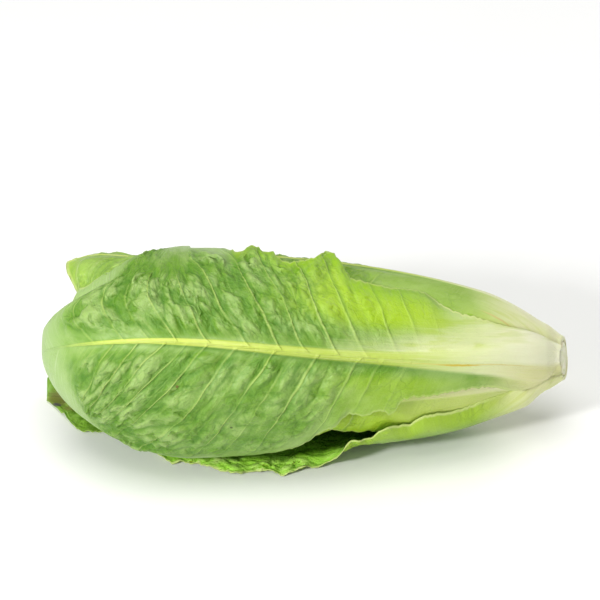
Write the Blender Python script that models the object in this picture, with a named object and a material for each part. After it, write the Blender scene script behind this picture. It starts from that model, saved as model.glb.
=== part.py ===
# A head of romaine lettuce, lying on its side. A tapered stem core carries the leaves, and each
# leaf is a thin curved shell with a thick rib down its outside. Every leaf wraps the ones that
# grow above it, so the shells nest. Metres, +Z up. The cut end faces +X, the leaf tips face -X,
# and the leaf with its rib on the near side faces -Y. The flat under the bottom leaf is z = 0.

import math

import bpy
import numpy as np

MM = 0.001
DEGREE = math.pi / 180

# Driving dimensions of the head
WIDEST_FROM_CUT = 0.200
WIDEST_RADIUS = 0.057
TIP_HEIGHT = 0.080  # from the widest ring to the tip
AXIS_HEIGHT = 0.0515  # of the head's axis over the table, at the widest ring
BUTT_DROP = -0.8 * DEGREE  # below zero, the cut end lies a little higher than the widest ring
FOOT_DROOP = 0.0063  # the last stretch before the cut bends down by this much
DROOP_LENGTH = 0.044
CUT_SLANT = 0.16  # the cut face leans back this much on its near, upper side
SLANT_FACES = 35 * DEGREE  # height over the table of the side that leans back
SLANT_FADES = 0.016  # past the cut, the leaves stand straight again
CORE_RADIUS = 0.0095
CORE_TIP_RADIUS = 0.0022
CORE_LENGTH = 0.062
GAP = 0.0003  # between the stem and the foot of a leaf

# Leaves, numbered from the outside
LEAF_COUNT = 24
CUT_LEAVES = 3  # leaves whose foot is cut through at the cut end
WRAPPED_LEAVES = 12  # leaves that close nearly round; the ones within get narrower
HEART_FROM = 16
FIRST_ANGLE = 35 * DEGREE  # about the axis, from the near side upwards
TURN = 137.508 * DEGREE  # from one leaf to the next
RADIUS_STEP = 0.0023  # each leaf is this much smaller at its widest than the one outside it
RISE = 0.0024  # each leaf grows this much further up the stem
FIRST_RISE = 0.0012  # more than that, for the leaves that the cut didn't reach
HEART_DROP = 0.00011  # moves the widest ring back towards the cut, times the leaf's number squared

# Thickness
WRAPPER_BLADE = 0.0010
WRAPPER_FOOT = 0.0019  # more than the blade, all across the foot
WRAPPER_RIB = 0.0017
BLADE = 0.0009
HEART_BLADE = 0.0007
RIB = 0.0016

# Shape of the nested shells
COLLAR = 0.007  # straight foot of a leaf, before its shell swells
SWELL_POWER = 0.62
LOW_TIP_POWER = 1.7
HIGH_TIP_POWER = 2.6
SAG_STARTS = 0.022  # below the axis, from where the head's weight flattens it
SAG_SPAN = 0.036
SAG_SHARE = 0.2
BELLY = 0.36  # the underside hangs fuller by this share between the foot and the table
BELLY_FROM = 0.008
BELLY_FULL = 0.020
BELLY_FADES = 0.028
BELLY_ENDS = 0.122

# Where the bottom leaf lies on the table
TONGUE = 0.077  # its length past the widest ring
LAY_FROM = 0.098
LAY_FULL = 0.136
LAY_BACK_NONE = -142 * DEGREE
LAY_BACK_FULL = -108 * DEGREE
PRESS = 0.0022

# The wrapper leaves. Half-widths are pairs of millimetres along the midrib and degrees about the
# axis: "low" on the side of smaller angle, "high" on the other, and "lean" is how many degrees the
# midrib lies off the leaf's own angle, in the same millimetres. "bend" is how far the leaf folds
# over the tip, and "spread" how far its margins run up the tip with it, on the two sides.
WRAPPERS = (
    {
        "name": "leaf_01_front",
        "bend": 95,
        "high_bend": 62,
        "spread": (1.2, 0.2),
        "lean": ((0, -10), (36, -10), (89, -4.7), (142, 1), (196, 6.4), (250, 8)),
        "low": ((0, 25), (13, 28), (22, 34), (31, 32), (43, 27), (55, 25.5), (73, 28.5), (84, 30),
                (93, 37), (105, 39), (119, 42), (126, 50), (137, 62), (150, 75), (190, 88),
                (262, 90), (285, 76), (300, 52), (310, 24)),
        "high": ((0, 53), (20, 45.5), (32, 41), (44, 41), (56, 44), (68, 52), (83, 56), (107, 53),
                 (118, 58), (127, 66), (137, 62), (150, 61), (165, 68), (180, 79), (200, 86),
                 (250, 77), (280, 57), (310, 27)),
    },
    {
        "name": "leaf_02_bottom",
        "bend": 0,
        "high_bend": 0,
        "spread": (0, 0),
        "lean": ((0, 0), (100, -4), (200, -13), (277, -15)),
        "low": ((0, 69), (82, 69), (115, 84), (180, 92), (215, 80), (245, 52), (265, 30), (277, 15)),
        "high": ((0, 98), (13, 95), (22, 86), (33, 81), (46, 78.5), (60, 79), (72, 81), (84, 75),
                 (97, 79), (107, 70), (120, 62), (134, 66), (150, 71), (175, 70), (196, 60),
                 (218, 54), (235, 38), (255, 22), (277, 13)),
    },
    {
        "name": "leaf_03_top",
        "bend": 55,
        "high_bend": 55,
        "spread": (0.3, 0.8),
        "lean": ((0, 0), (1, 0)),
        "flare": 0.20,
        "low": ((0, 38), (15, 41), (30, 48), (46, 50), (60, 58), (90, 66), (120, 76), (190, 80),
                (225, 50), (250, 29), (263, 16)),
        "high": ((0, 65), (80, 66), (112, 84), (200, 92), (230, 75), (250, 50), (263, 25)),
    },
    {
        "name": "leaf_04_side",
        "bend": 84,
        "high_bend": 84,
        "spread": (0.8, 0.8),
        "lean": ((0, 14), (130, 14), (200, 0)),
        "low": ((0, 28), (16, 35), (26, 37), (44, 36.5), (60, 38), (81, 38), (92, 38.5), (105, 34),
                (118, 29), (132, 33), (150, 42), (175, 66), (200, 85), (240, 84), (270, 55),
                (292, 18)),
        "high": ((0, 30), (46, 36), (62, 44), (100, 70), (190, 88), (240, 82), (270, 55), (292, 18)),
    },
)
FLARE_FROM = 22 * DEGREE  # of bend, where the top leaf's tip starts to spring out of its shell
FLARE_OVER = 34 * DEGREE

ROW_CROWDING = 1.35  # above 1, cells are shorter near the foot of a leaf


def eased(amount):
    amount = np.clip(amount, 0, 1)
    return amount * amount * (3 - 2 * amount)


def through(points, where):
    # Smooth curve through a few (place, value) points, flat past either end.
    place = np.array([point[0] for point in points], float)
    value = np.array([point[1] for point in points], float)
    slope = np.gradient(value, place)
    slope[0] = slope[-1] = 0
    where = np.clip(where, place[0], place[-1])
    cell = np.clip(np.searchsorted(place, where, side="right") - 1, 0, len(place) - 2)
    width = place[cell + 1] - place[cell]
    t = (where - place[cell]) / width
    return (
        (1 + 2 * t) * (1 - t) ** 2 * value[cell]
        + t * (1 - t) ** 2 * width * slope[cell]
        + t * t * (3 - 2 * t) * value[cell + 1]
        + t * t * (t - 1) * width * slope[cell + 1]
    )


def core_radius(along):
    taper = (np.clip(along, 0, CORE_LENGTH) / CORE_LENGTH) ** 1.3
    return CORE_TIP_RADIUS + (CORE_RADIUS - CORE_TIP_RADIUS) * (1 - taper)


def leaf_plan(index):
    # What sets one leaf apart: where it grows, the shell that it lies on and its outline.
    start = 0.0 if index < CUT_LEAVES else FIRST_RISE + RISE * index
    radius = WIDEST_RADIUS - RADIUS_STEP * index
    widest = WIDEST_FROM_CUT - HEART_DROP * index * index
    plan = {
        "index": index,
        "angle": FIRST_ANGLE - index * TURN,
        "start": start,
        "foot": core_radius(start) + GAP,
        "radius": radius,
        "widest": widest,
        "height": TIP_HEIGHT * (radius / WIDEST_RADIUS) ** 0.8,
    }
    if index < len(WRAPPERS):
        plan.update(WRAPPERS[index])
    else:
        bend = 76 + 18 * (index * 0.618 % 1)
        plan.update({"name": f"leaf_{index + 1:02d}", "bend": bend, "high_bend": bend})
        plan.update({"spread": (0.7, 0.7), "lean": ((0, 0), (1, 0))})
    over_tip = plan["bend"] * DEGREE * (radius + plan["height"]) / 2
    plan["length"] = widest - start + (over_tip or TONGUE)
    if index >= len(WRAPPERS):
        wide = 90 + 0.8 * index - 3.6 * max(0, index - WRAPPED_LEAVES)
        shares = ((0, 40), (0.16, 42), (0.42, 0.84 * wide), (0.6, wide), (0.78, 0.9 * wide),
                  (0.92, 0.5 * wide), (1, 0.16 * wide))
        plan["low"] = plan["high"] = [(share * plan["length"] / MM, half) for share, half in shares]
    return plan


def shell_radius(plan, along):
    body = plan["widest"] - plan["start"] - COLLAR
    share = np.clip((along - plan["start"] - COLLAR) / body, 0, 1)
    return plan["foot"] + (plan["radius"] - plan["foot"]) * np.sin(np.pi / 2 * share) ** SWELL_POWER


def thickness(plan, run, beside):
    # A thin blade, and a rib that starts as wide as the leaf's foot and narrows up the leaf.
    # run is millimetres along the leaf and beside is millimetres off its midrib.
    if plan["index"] < CUT_LEAVES:
        blade = WRAPPER_BLADE + WRAPPER_FOOT * np.exp(-run / 16)
        rib = WRAPPER_RIB * np.exp(-run / 150) * (1 - eased((run - 180) / 60))
    else:
        blade = BLADE if plan["index"] < HEART_FROM else HEART_BLADE
        rib = RIB * np.exp(-run / 130) * eased((run + 12) / 36) * (1 - eased((run - 150) / 60))
    half = 2.2 + 11 * np.exp(-run / 60)
    return blade + rib * np.exp(-((beside / half) ** 2))


def place(along, ahead, reach, angle):
    # From distance along the axis, reach from it and angle about it, to the lying head.
    x = WIDEST_FROM_CUT - along - ahead
    y = -reach * np.cos(angle)
    z = reach * np.sin(angle)
    z = z + SAG_SHARE * np.clip(-z - SAG_STARTS, 0, None) ** 2 / (2 * SAG_SPAN)
    belly = eased((along - BELLY_FROM) / (BELLY_FULL - BELLY_FROM))
    belly = belly * (1 - eased((along - BELLY_FADES) / (BELLY_ENDS - BELLY_FADES)))
    z = z * (1 + BELLY * belly * (z < 0))
    z = z - FOOT_DROOP * (1 - eased(along / DROOP_LENGTH))
    forward = z * math.sin(SLANT_FACES) - y * math.cos(SLANT_FACES)
    x = x - CUT_SLANT * forward * (1 - eased(along / SLANT_FADES))
    return np.stack([
        x * math.cos(BUTT_DROP) + z * math.sin(BUTT_DROP),
        y,
        AXIS_HEIGHT + z * math.cos(BUTT_DROP) - x * math.sin(BUTT_DROP),
    ], axis=-1)


def over_the_tip(plan, bend, turn, across):
    # Direction of a point past the widest ring, whose cross lines swing about the ring's centre:
    # its angle about the axis, the sine and cosine of its rise, and the shell's reach that way.
    spread = np.where(across > 0, plan["spread"][1], plan["spread"][0])
    out = np.cos(bend) * np.cos(turn)
    beside = np.sin(turn)
    ahead = np.sin(bend) * (np.cos(turn) + spread * np.sin(turn) ** 2)
    size = np.sqrt(out**2 + beside**2 + ahead**2)
    rise = ahead / size
    flat = np.hypot(out, beside) / size
    angle = np.arctan2(beside, out)
    # The tip is fuller on its upper near side than on its lower one.
    power = (LOW_TIP_POWER + HIGH_TIP_POWER) / 2
    power += (HIGH_TIP_POWER - LOW_TIP_POWER) / 2 * np.sin(plan["angle"] + angle - FIRST_ANGLE)
    reach = ((flat / plan["radius"]) ** power + (rise / plan["height"]) ** power) ** (-1 / power)
    flare = eased((bend - FLARE_FROM) / FLARE_OVER) * eased(1 - np.abs(across))
    return angle, rise, flat, reach * (1 + plan.get("flare", 0) * flare)


def leaf_points(plan, along_share, across, side):
    # Points of one leaf, at shares of its length and of its half-width. side is 0 for its inner
    # face and 1 for its outer face.
    run = along_share * plan["length"]
    half = np.where(across > 0, through(plan["high"], run / MM), through(plan["low"], run / MM))
    turn = across * half * DEGREE
    middle = plan["angle"] + through(plan["lean"], run / MM) * DEGREE
    along = plan["start"] + run
    reach = shell_radius(plan, along)
    if plan["bend"] == 0:
        reach = reach + side * thickness(plan, run / MM, turn * reach / MM)
        return pressed_on_table(place(along, 0, reach, middle + turn), run, middle + turn, side)
    body = plan["widest"] - plan["start"]
    past = np.clip(run - body, 0, None) / (plan["length"] - body)
    last_bend = plan["bend"] + (plan["high_bend"] - plan["bend"]) * eased((across - 0.2) / 0.4)
    angle, rise, flat, tip_reach = over_the_tip(plan, last_bend * DEGREE * past, turn, across)
    reach = np.where(past > 0, tip_reach, reach)
    reach = reach + side * thickness(plan, run / MM, turn * reach / MM)
    return place(np.minimum(along, plan["widest"]), reach * rise, reach * flat, middle + angle)


def pressed_on_table(points, run, angle, side):
    # The bottom leaf is pressed flat on the table, and its near edge lies out over it.
    weight = eased((run - LAY_FROM) / (LAY_FULL - LAY_FROM))
    weight = weight * eased((angle - LAY_BACK_NONE) / (LAY_BACK_FULL - LAY_BACK_NONE))
    lowest = WRAPPER_BLADE * (1 - side)
    height = points[..., 2] * (1 - weight) + (lowest - PRESS) * weight
    points[..., 2] = np.maximum(height, lowest)
    return points


def cell_counts(index):
    if index < len(WRAPPERS):
        return 17, 12
    if index < 10:
        return 12, 10
    return (10, 8) if index < 18 else (8, 6)


def closed_leaf(plan):
    # Outer face, inner face and the rim that joins them, as one closed mesh.
    rows, columns = cell_counts(plan["index"])
    step = np.linspace(-1, 1, columns + 1)
    crowding = 1.2 if plan["index"] < len(WRAPPERS) else 1.0  # cells are narrower near a wrapper's rib
    across = np.sign(step) * np.abs(step) ** crowding
    down = np.linspace(0, 1, rows + 1) ** ROW_CROWDING
    along_share, across = np.meshgrid(down, across, indexing="ij")
    faces_of = [leaf_points(plan, along_share, across, side).reshape(-1, 3) for side in (1, 0)]
    wide = columns + 1
    count = (rows + 1) * wide
    faces = []
    for row in range(rows):
        for column in range(columns):
            a = row * wide + column
            faces.append((a, a + 1, a + wide + 1, a + wide))
            faces.append((count + a, count + a + wide, count + a + wide + 1, count + a + 1))
    rim = list(range(wide))
    rim += [row * wide + columns for row in range(1, rows + 1)]
    rim += [rows * wide + column for column in range(columns - 1, -1, -1)]
    rim += [row * wide for row in range(rows - 1, 0, -1)]
    for a, b in zip(rim, rim[1:] + rim[:1]):
        faces.append((b, a, count + a, count + b))
    return np.concatenate(faces_of), faces


def stem_solid():
    # Turned core: rings from the cut face to a blunt end, and a point at the middle of each end.
    sides = 28
    along = np.linspace(0, CORE_LENGTH, 7)
    turn = np.arange(sides) * 2 * math.pi / sides
    rings = [place(np.full(sides, s), 0, core_radius(s), turn) for s in along]
    ends = [place(s, 0, 0.0, 0.0).reshape(1, 3) for s in (along[0], along[-1])]
    points = np.concatenate(rings + ends)
    first, last = len(points) - 2, len(points) - 1
    last_ring = (len(along) - 1) * sides
    faces = []
    for side in range(sides):
        after = (side + 1) % sides
        faces.append((first, after, side))
        faces.append((last, last_ring + side, last_ring + after))
        for a in range(0, last_ring, sides):
            faces.append((a + side, a + after, a + sides + after, a + sides + side))
    return points, faces


def material(name, colour, roughness):
    made = bpy.data.materials.new(name)
    made.use_nodes = True
    surface = made.node_tree.nodes["Principled BSDF"]
    surface.inputs["Base Color"].default_value = (*colour, 1)
    surface.inputs["Roughness"].default_value = roughness
    surface.inputs["Metallic"].default_value = 0
    return made


def add_object(name, points, faces, surface):
    mesh = bpy.data.meshes.new(name)
    mesh.from_pydata([tuple(point) for point in points], [], faces)
    mesh.materials.append(surface)
    mesh.shade_smooth()
    mesh.set_sharp_from_angle(angle=50 * DEGREE)
    bpy.context.scene.collection.objects.link(bpy.data.objects.new(name, mesh))


def main():
    for old in list(bpy.data.objects):
        bpy.data.objects.remove(old)
    wrapper = material("wrapper_leaf", (0.30, 0.50, 0.14), 0.45)
    inner = material("inner_leaf", (0.46, 0.60, 0.18), 0.45)
    heart = material("heart_leaf", (0.72, 0.74, 0.34), 0.45)
    flesh = material("stem_flesh", (0.80, 0.80, 0.58), 0.50)
    solids = []
    for index in range(LEAF_COUNT):
        plan = leaf_plan(index)
        surface = wrapper if index < len(WRAPPERS) else inner if index < HEART_FROM else heart
        solids.append((plan["name"], *closed_leaf(plan), surface))
    solids.append(("stem", *stem_solid(), flesh))
    every = np.concatenate([points for _, points, _, _ in solids])
    origin = (every.min(axis=0) + every.max(axis=0)) / 2
    origin[2] = every[:, 2].min()
    for name, points, faces, surface in solids:
        add_object(name, points - origin, faces, surface)


main()
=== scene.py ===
import math

import bpy
import numpy as np
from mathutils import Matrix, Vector


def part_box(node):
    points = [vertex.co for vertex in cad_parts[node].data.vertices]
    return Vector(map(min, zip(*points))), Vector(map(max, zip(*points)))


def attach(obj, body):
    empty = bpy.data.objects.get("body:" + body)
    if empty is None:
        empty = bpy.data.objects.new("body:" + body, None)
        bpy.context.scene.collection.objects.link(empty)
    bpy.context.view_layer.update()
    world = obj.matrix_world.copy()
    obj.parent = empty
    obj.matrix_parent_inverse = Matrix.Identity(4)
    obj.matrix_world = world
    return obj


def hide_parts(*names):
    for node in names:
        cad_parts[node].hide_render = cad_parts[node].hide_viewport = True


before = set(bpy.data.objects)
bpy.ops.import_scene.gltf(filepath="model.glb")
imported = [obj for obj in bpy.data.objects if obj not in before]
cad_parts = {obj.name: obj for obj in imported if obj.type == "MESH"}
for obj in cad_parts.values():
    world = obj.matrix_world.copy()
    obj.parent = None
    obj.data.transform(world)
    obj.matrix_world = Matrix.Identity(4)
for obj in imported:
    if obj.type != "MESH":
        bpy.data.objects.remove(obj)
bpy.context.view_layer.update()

print("frame loaded:", len(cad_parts), "pieces of the head")

mm = 0.001


def paint(red, green, blue):
    # A colour as a picture editor shows it, turned into the linear one that a shader takes.
    return tuple((value / 255) ** 2.2 for value in (red, green, blue)) + (1.0,)


# Camera and light come first, so that every picture is framed alike.

view = {
    "target": (-0.0029, 0.0, 0.0873),
    "elevation": math.radians(35),
    "width": 0.320,
    "lens": 200,
    "sensor": 36,
    "clipEnd": 20,
}


def linked(name, data):
    thing = bpy.data.objects.new(name, data)
    bpy.context.scene.collection.objects.link(thing)
    return thing


def aim(thing, place, direction):
    thing.location = place
    thing.rotation_mode = "QUATERNION"
    thing.rotation_quaternion = direction.to_track_quat("-Z", "Y")


def setCamera():
    data = bpy.data.cameras.new("camera")
    data.lens = view["lens"]
    data.sensor_width = view["sensor"]
    data.clip_end = view["clipEnd"]
    back = Vector((0, -math.cos(view["elevation"]), math.sin(view["elevation"])))
    distance = view["width"] * view["lens"] / view["sensor"]
    camera = linked("camera", data)
    aim(camera, Vector(view["target"]) + back * distance, -back)
    bpy.context.scene.camera = camera


softboxes = {
    # name: place, what it looks at, width, height, power, colour
    "overhead": ((-0.1, -0.2, 1.5), (0, 0, 0.05), 1.2, 1.0, 14.0, (1.0, 0.99, 0.96)),
    "leftFront": ((-1.2, -1.15, 0.95), (-0.05, 0, 0.05), 0.24, 0.24, 24, (1.0, 1.0, 0.98)),
    "backRight": ((0.9, 1.3, 1.0), (0, 0, 0.05), 0.9, 0.9, 6, (0.97, 1.0, 1.0)),
}
worldLight = 0.32


def setLights():
    for name, (place, target, width, height, power, colour) in softboxes.items():
        data = bpy.data.lights.new(name, "AREA")
        data.shape = "RECTANGLE"
        data.size = width
        data.size_y = height
        data.energy = power
        data.color = colour
        aim(linked(name, data), place, Vector(target) - Vector(place))
    world = bpy.data.worlds.new("studio")
    world.use_nodes = True
    background = world.node_tree.nodes["Background"]
    background.inputs["Color"].default_value = (1, 1, 1, 1)
    background.inputs["Strength"].default_value = worldLight
    bpy.context.scene.world = world
    bpy.context.scene.view_settings.view_transform = "Standard"


# Node sheets: one class for numbers that come out of nodes, one for the sheet they are on.


class Number:
    # A value in a node sheet. Sums and products of it add Math nodes.
    def __init__(self, sheet, socket):
        self.sheet = sheet
        self.socket = socket

    def math(self, operation, *others):
        inputs = dict(enumerate((self, *others)))
        return self.sheet.node("ShaderNodeMath", {"operation": operation}, inputs)

    def turned(self, operation, other):
        return self.sheet.node("ShaderNodeMath", {"operation": operation}, {0: other, 1: self})

    def __add__(self, other):
        return self.math("ADD", other)

    __radd__ = __add__

    def __sub__(self, other):
        return self.math("SUBTRACT", other)

    def __rsub__(self, other):
        return self.turned("SUBTRACT", other)

    def __mul__(self, other):
        return self.math("MULTIPLY", other)

    __rmul__ = __mul__

    def __truediv__(self, other):
        return self.math("DIVIDE", other)

    def __rtruediv__(self, other):
        return self.turned("DIVIDE", other)

    def __pow__(self, other):
        return self.math("POWER", other)

    def __abs__(self):
        return self.math("ABSOLUTE")


class NodeSheet:
    def __init__(self, tree):
        self.tree = tree
        tree.nodes.clear()

    def node(self, kind, settings=None, inputs=None, output=0):
        made = self.tree.nodes.new(kind)
        for key, value in (settings or {}).items():
            setattr(made, key, value)
        for key, value in (inputs or {}).items():
            if isinstance(value, Number):
                self.tree.links.new(value.socket, made.inputs[key])
            else:
                made.inputs[key].default_value = value
        found = made.outputs[output] if len(made.outputs) else None
        return Number(self, found)

    def rise(self, value, low, high, bottom=0.0, top=1.0):
        # Goes smoothly from bottom to top as the value goes from low to high.
        settings = {"interpolation_type": "SMOOTHSTEP"}
        inputs = {"Value": value, "From Min": low, "From Max": high}
        inputs.update({"To Min": bottom, "To Max": top})
        return self.node("ShaderNodeMapRange", settings, inputs)

    def fall(self, value, low, high):
        return 1 - self.rise(value, low, high)

    def mix(self, share, first, second, blend="MIX"):
        settings = {"data_type": "RGBA", "blend_type": blend}
        return self.node("ShaderNodeMix", settings, {0: share, 6: first, 7: second}, output=2)

    def vector(self, x, y, z):
        return self.node("ShaderNodeCombineXYZ", None, {0: x, 1: y, 2: z})

    def parts(self, vector):
        split = self.tree.nodes.new("ShaderNodeSeparateXYZ")
        self.tree.links.new(vector.socket, split.inputs[0])
        return [Number(self, socket) for socket in split.outputs]

    def noise(self, where, scale, detail=2.0, roughness=0.5):
        inputs = {"Vector": where, "Scale": scale, "Detail": detail, "Roughness": roughness}
        return self.node("ShaderNodeTexNoise", {"noise_dimensions": "3D"}, inputs)

    def cells(self, where, scale, feature="DISTANCE_TO_EDGE"):
        settings = {"voronoi_dimensions": "3D", "feature": feature}
        return self.node("ShaderNodeTexVoronoi", settings, {"Vector": where, "Scale": scale})

    def scaled(self, vector, factor):
        return self.node("ShaderNodeVectorMath", {"operation": "SCALE"}, {0: vector, "Scale": factor})

    def layer(self, name, output=1):
        # What the mesh carries under this name: output 1 is a vector, 2 a plain number.
        return self.node("ShaderNodeAttribute", {"attribute_name": name}, None, output)

    def bump(self, strength, distance, height):
        inputs = {"Strength": strength, "Distance": distance, "Height": height}
        return self.node("ShaderNodeBump", None, inputs)

    def finish(self, inputs):
        surface = self.node("ShaderNodeBsdfPrincipled", None, inputs)
        self.node("ShaderNodeOutputMaterial", None, {"Surface": surface})


def newMaterial(name):
    made = bpy.data.materials.new(name)
    made.use_nodes = True
    return made, NodeSheet(made.node_tree)


# The head's law: nested shells, each a leaf, bent over the tip.

head = {
    "widestFromCut": 0.200,
    "widestRadius": 0.057,
    "tipHeight": 0.080,
    "axisHeight": 0.0515,
    "buttDrop": math.radians(-0.8),
    "footDroop": 0.0063,
    "droopLength": 0.044,
    "cutSlant": 0.25,
    "slantFaces": math.radians(35),
    "slantFades": 0.016,
    "coreRadius": 0.0095,
    "coreTipRadius": 0.0022,
    "coreLength": 0.062,
    "gap": 0.0003,
    "leafCount": 24,
    "cutLeaves": 3,
    "wrappedLeaves": 12,
    "heartFrom": 16,
    "firstAngle": math.radians(35),
    "turn": math.radians(137.508),
    "radiusStep": 0.0023,
    "rise": 0.0024,
    "firstRise": 0.0012,
    "heartDrop": 0.00011,
    "collar": 0.007,
    "footRamp": 0.015,
    "swellPower": 0.62,
    "lowTipPower": 1.7,
    "highTipPower": 2.45,
    "sagStarts": 0.022,
    "sagSpan": 0.036,
    "sagShare": 0.2,
    "belly": 0.36,
    "bellyFrom": 0.008,
    "bellyFull": 0.020,
    "bellyFades": 0.028,
    "bellyEnds": 0.148,
    "tongue": 0.083,
    "layFrom": 0.112,
    "layFull": 0.136,
    "layBackNone": math.radians(-142),
    "layBackFull": math.radians(-108),
    "press": 0.0022,
    "flareFrom": math.radians(22),
    "flareOver": math.radians(34),
}

# Places are in millimetres along the leaf. The midrib's lean and the half-widths on its low and
# high side are in degrees around the head; bend is how far the leaf folds over the tip.
wrapperPlans = (
    {
        "name": "leaf_01_front", "bend": 95, "highBend": 62, "spread": (1.2, 0.2),
        "lean": ((0, -10), (36, -10), (89, -4.7), (142, 1), (196, 6.4), (250, 8)),
        "low": ((0, 30), (13, 38), (20, 38), (30, 34), (37, 29.3), (44, 26.7), (52, 25.4),
            (63, 26.7), (73, 28.6), (84, 29), (89, 32.2), (92, 38.5), (101, 36), (105, 39.4),
            (119, 41), (123, 47), (129, 50), (137, 62), (150, 75), (190, 88), (262, 90),
            (285, 76), (300, 52), (310, 24)),
        "high": ((0, 55), (11, 54), (19, 48), (31, 41.1), (41, 40.3), (49, 42.1), (56, 43.2),
            (62, 46), (67, 50), (73, 56.6), (82, 56.8), (91, 54.9), (99, 53), (107, 53),
            (115, 54), (119.5, 64), (125.5, 72), (130, 66), (133.5, 61), (139.5, 59.7),
            (143, 57.5), (151, 56.5), (155, 62.4), (160, 62.3), (166.5, 67.7), (170, 65),
            (174, 63), (184, 76), (200, 86), (250, 77), (280, 57), (310, 27)),
    },
    {
        "name": "leaf_02_bottom", "bend": 0, "highBend": 0, "spread": (0, 0),
        "lean": ((0, 0), (100, -4), (200, -13), (240, -15), (283, -19)),
        "low": ((0, 69), (82, 69), (115, 84), (180, 92), (215, 80), (245, 56), (265, 40), (275, 28),
            (283, 10)),
        "high": ((0, 102), (13, 99), (22, 88), (30, 82), (38, 80.3), (46, 78.7), (59, 78.6),
            (65, 80.8), (71, 82.6), (78, 81.5), (83, 75), (89, 78), (96, 81.6), (100, 81),
            (104, 71), (112, 71), (118, 70), (124, 63), (134, 65), (148, 72), (157, 72),
            (166, 69), (178, 73), (188, 66), (196, 62), (206, 62), (214, 59), (222, 50),
            (230, 43), (240, 37), (250, 33), (258, 33), (264, 31), (270, 25), (275, 16),
            (279, 10), (283, 5)),
    },
    {
        "name": "leaf_03_top", "bend": 53, "highBend": 53, "spread": (0.9, 0.8), "skew": 0.14,
        "lean": ((0, 0), (1, 0)), "flare": 0.225,
        "low": ((0, 44), (15, 52), (30, 60), (46, 62), (60, 64), (90, 68), (120, 76), (190, 80),
            (225, 50), (250, 29), (263, 19)),
        "high": ((0, 70), (80, 68), (112, 84), (200, 92), (230, 75), (250, 52), (263, 34)),
    },
    {
        "name": "leaf_04_side", "bend": 84, "highBend": 84, "spread": (0.8, 0.8),
        "lean": ((0, 14), (130, 14), (200, 0)),
        "low": ((0, 28), (17, 35.5), (25, 37.3), (36, 36.6), (44, 35.6), (50, 37), (60, 38.2),
            (69, 36.7), (81, 37.6), (92, 38.5), (105, 33.8), (118, 28), (132, 32), (150, 42),
            (175, 66), (200, 85), (240, 84), (270, 55), (292, 18)),
        "high": ((0, 30), (46, 36), (62, 44), (100, 70), (190, 88), (240, 82), (270, 55), (292, 18)),
    },
)


def eased(value, start=0, over=1):
    # Goes smoothly from 0 at start to 1 once the value is that much over it.
    share = np.clip((value - start) / over, 0, 1)
    return share * share * (3 - 2 * share)


def faded(value, start=0, over=1):
    return 1 - eased(value, start, over)


def stretch(value, start, over, end, out):
    # Rises to 1 from start on and falls back to 0 from end on.
    return eased(value, start, over) * faded(value, end, out)


def hump(value, width, centre=0):
    return np.exp(-(((value - centre) / width) ** 2))


def through(points, where):
    # Smooth curve through a few (place, value) points, flat past either end.
    place, value = np.array(points, float).T
    slope = np.gradient(value, place)
    slope[0] = slope[-1] = 0
    where = np.clip(where, place[0], place[-1])
    cell = np.clip(np.searchsorted(place, where, side="right") - 1, 0, len(place) - 2)
    width = place[cell + 1] - place[cell]
    t = (where - place[cell]) / width
    return (
        (1 + 2 * t) * (1 - t) ** 2 * value[cell]
        + t * (1 - t) ** 2 * width * slope[cell]
        + t * t * (3 - 2 * t) * value[cell + 1]
        + t * t * (t - 1) * width * slope[cell + 1]
    )


def coreRadius(along):
    taper = (np.clip(along, 0, head["coreLength"]) / head["coreLength"]) ** 1.3
    return head["coreTipRadius"] + (head["coreRadius"] - head["coreTipRadius"]) * (1 - taper)


innerPlan = {"bend": 76, "bendVaries": 18, "bendStep": 0.618, "spread": 0.7,
             "half": 90, "widens": 0.8, "narrows": 3.6}


def leafKind(index):
    return "wrapper" if index < len(wrapperPlans) else "inner" if index < head["heartFrom"] else "heart"


def leafPlan(index):
    start = 0.0 if index < head["cutLeaves"] else head["firstRise"] + head["rise"] * index
    radius = head["widestRadius"] - head["radiusStep"] * index
    widest = head["widestFromCut"] - head["heartDrop"] * index * index
    plan = {
        "index": index,
        "angle": head["firstAngle"] - index * head["turn"],
        "start": start,
        "foot": coreRadius(start) + head["gap"],
        "radius": radius,
        "widest": widest,
        "height": head["tipHeight"] * (radius / head["widestRadius"]) ** 0.8,
    }
    if index < len(wrapperPlans):
        plan.update(wrapperPlans[index])
    else:
        bend = innerPlan["bend"] + innerPlan["bendVaries"] * (index * innerPlan["bendStep"] % 1)
        plan.update({"name": f"leaf_{index + 1:02d}", "bend": bend, "highBend": bend})
        plan.update({"spread": (innerPlan["spread"],) * 2, "lean": ((0, 0), (1, 0))})
    overTip = math.radians(plan["bend"]) * (radius + plan["height"]) / 2
    plan["length"] = widest - start + (overTip or head["tongue"])
    if index >= len(wrapperPlans):
        wide = innerPlan["half"] + innerPlan["widens"] * index
        wide -= innerPlan["narrows"] * max(0, index - head["wrappedLeaves"])
        shares = ((0, 40), (0.16, 42), (0.42, 0.84 * wide), (0.6, wide), (0.78, 0.9 * wide),
                  (0.92, 0.5 * wide), (1, 0.16 * wide))
        plan["low"] = plan["high"] = [(share * plan["length"] / mm, half) for share, half in shares]
    return plan


def shellRadius(plan, along):
    body = plan["widest"] - plan["start"] - head["collar"]

    def swollen(where):
        share = np.clip((where - plan["start"] - head["collar"]) / body, 0, 1)
        swell = np.sin(np.pi / 2 * share) ** head["swellPower"]
        return plan["foot"] + (plan["radius"] - plan["foot"]) * swell

    if plan["index"] >= head["cutLeaves"]:
        return swollen(along)
    # the cut leaves widen evenly from the cut, without a collar
    ramp = np.clip(along / head["footRamp"], 0, 1)
    started = plan["foot"] + (swollen(head["footRamp"]) - plan["foot"]) * ramp
    return np.where(along < head["footRamp"], started, swollen(along))


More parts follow.
